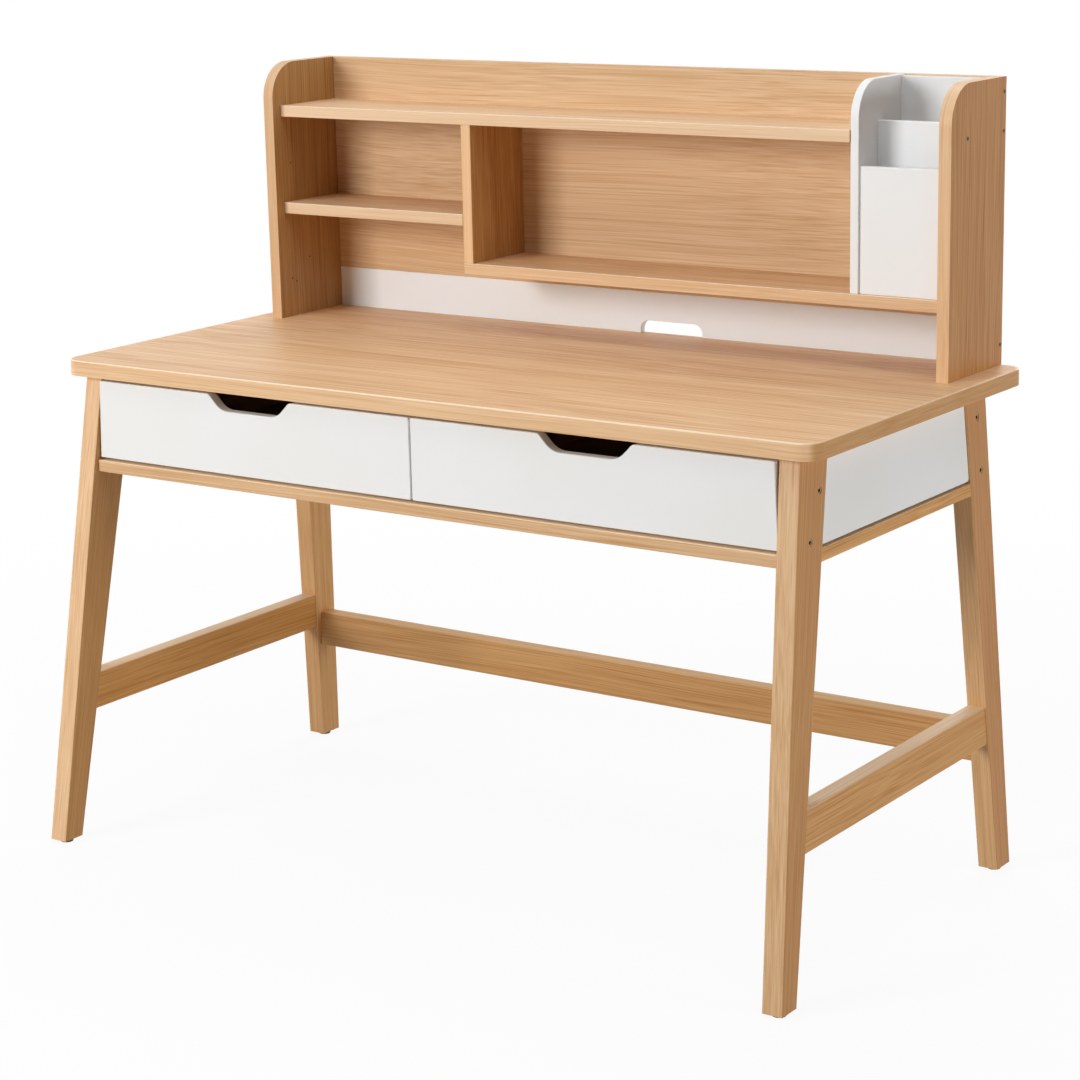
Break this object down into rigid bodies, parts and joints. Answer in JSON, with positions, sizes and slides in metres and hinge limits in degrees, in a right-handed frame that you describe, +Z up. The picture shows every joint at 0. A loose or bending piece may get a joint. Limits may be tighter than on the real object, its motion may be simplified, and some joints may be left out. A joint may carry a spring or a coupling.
{
  "type": "desk",
  "caption": "Writing desk on splayed, tapered wooden legs with two handle-less drawers on runners and a shelf hutch with paper pockets.",
  "frame": {"origin": "on the floor, in the middle of the footprint", "axes": "+X to the sitter's right, +Y towards the back, +Z up"},
  "size_m": [1.308, 0.708, 1.162],
  "materials": {
    "oak": "satin clear lacquer on light oak",
    "white_lacquer": "matt white lacquer on board",
    "drawer_ply": "plain birch plywood",
    "drawer_base": "thin hardboard",
    "case_board": "plain wood-faced board",
    "zinc_steel": "bright zinc plate",
    "bronzed_steel": "bronzed steel",
    "glide_plastic": "dark moulded plastic"
  },
  "bodies": {
    "frame": {"case_bolts": "bronzed_steel", "case_side_left": "case_board", "case_side_right": "case_board", "centre_partition": "case_board", "desktop": "oak", "foot_glides": "glide_plastic", "front_rail": "oak", "hutch_back_panel": "oak", "hutch_bay_divider": "oak", "hutch_bolts": "bronzed_steel", "hutch_left_shelf": "oak", "hutch_low_shelf": "oak", "hutch_lower_strip": "white_lacquer", "hutch_side_left": "oak", "hutch_side_right": "oak", "hutch_top_shelf": "oak", "leg_front_left": "oak", "leg_front_right": "oak", "leg_rear_left": "oak", "leg_rear_right": "oak", "pocket_back": "white_lacquer", "pocket_divider": "white_lacquer", "pocket_front": "white_lacquer", "pocket_middle": "white_lacquer", "rear_apron": "oak", "rear_stretcher": "oak", "side_panel_left": "white_lacquer", "side_panel_right": "white_lacquer", "side_rail_left": "oak", "side_rail_right": "oak", "side_stretcher_left": "oak", "side_stretcher_right": "oak", "slide_case_member_left_inner": "zinc_steel", "slide_case_member_left_outer": "zinc_steel", "slide_case_member_right_inner": "zinc_steel", "slide_case_member_right_outer": "zinc_steel"},
    "drawer_right": {"drawer_back_right": "drawer_ply", "drawer_bottom_right": "drawer_base", "drawer_front_right": "white_lacquer", "drawer_side_inner_right": "drawer_ply", "drawer_side_outer_right": "drawer_ply", "slide_drawer_member_right_inner": "zinc_steel", "slide_drawer_member_right_outer": "zinc_steel"},
    "slide_middle_right_outer": {"slide_middle_member_right_outer": "zinc_steel"},
    "slide_middle_right_inner": {"slide_middle_member_right_inner": "zinc_steel"},
    "drawer_left": {"drawer_back_left": "drawer_ply", "drawer_bottom_left": "drawer_base", "drawer_front_left": "white_lacquer", "drawer_side_inner_left": "drawer_ply", "drawer_side_outer_left": "drawer_ply", "slide_drawer_member_left_inner": "zinc_steel", "slide_drawer_member_left_outer": "zinc_steel"},
    "slide_middle_left_outer": {"slide_middle_member_left_outer": "zinc_steel"},
    "slide_middle_left_inner": {"slide_middle_member_left_inner": "zinc_steel"}
  },
  "joints": [
    {"name": "drawer_right_slide", "type": "slide", "parent": "frame", "child": "drawer_right", "axis": [0, -1, 0], "range_m": [0, 0.44]},
    {"name": "slide_middle_right_outer_travel", "type": "slide", "parent": "frame", "child": "slide_middle_right_outer", "axis": [0, -1, 0], "range_m": [0, 0.22]},
    {"name": "slide_middle_right_inner_travel", "type": "slide", "parent": "frame", "child": "slide_middle_right_inner", "axis": [0, -1, 0], "range_m": [0, 0.22]},
    {"name": "drawer_left_slide", "type": "slide", "parent": "frame", "child": "drawer_left", "axis": [0, -1, 0], "range_m": [0, 0.44]},
    {"name": "slide_middle_left_outer_travel", "type": "slide", "parent": "frame", "child": "slide_middle_left_outer", "axis": [0, -1, 0], "range_m": [0, 0.22]},
    {"name": "slide_middle_left_inner_travel", "type": "slide", "parent": "frame", "child": "slide_middle_left_inner", "axis": [0, -1, 0], "range_m": [0, 0.22]}
  ],
  "couplings": [
    {"joint": "slide_middle_right_outer_travel", "follows": "drawer_right_slide", "ratio": 0.5},
    {"joint": "slide_middle_right_inner_travel", "follows": "drawer_right_slide", "ratio": 0.5},
    {"joint": "slide_middle_left_outer_travel", "follows": "drawer_left_slide", "ratio": 0.5},
    {"joint": "slide_middle_left_inner_travel", "follows": "drawer_left_slide", "ratio": 0.5}
  ]
}
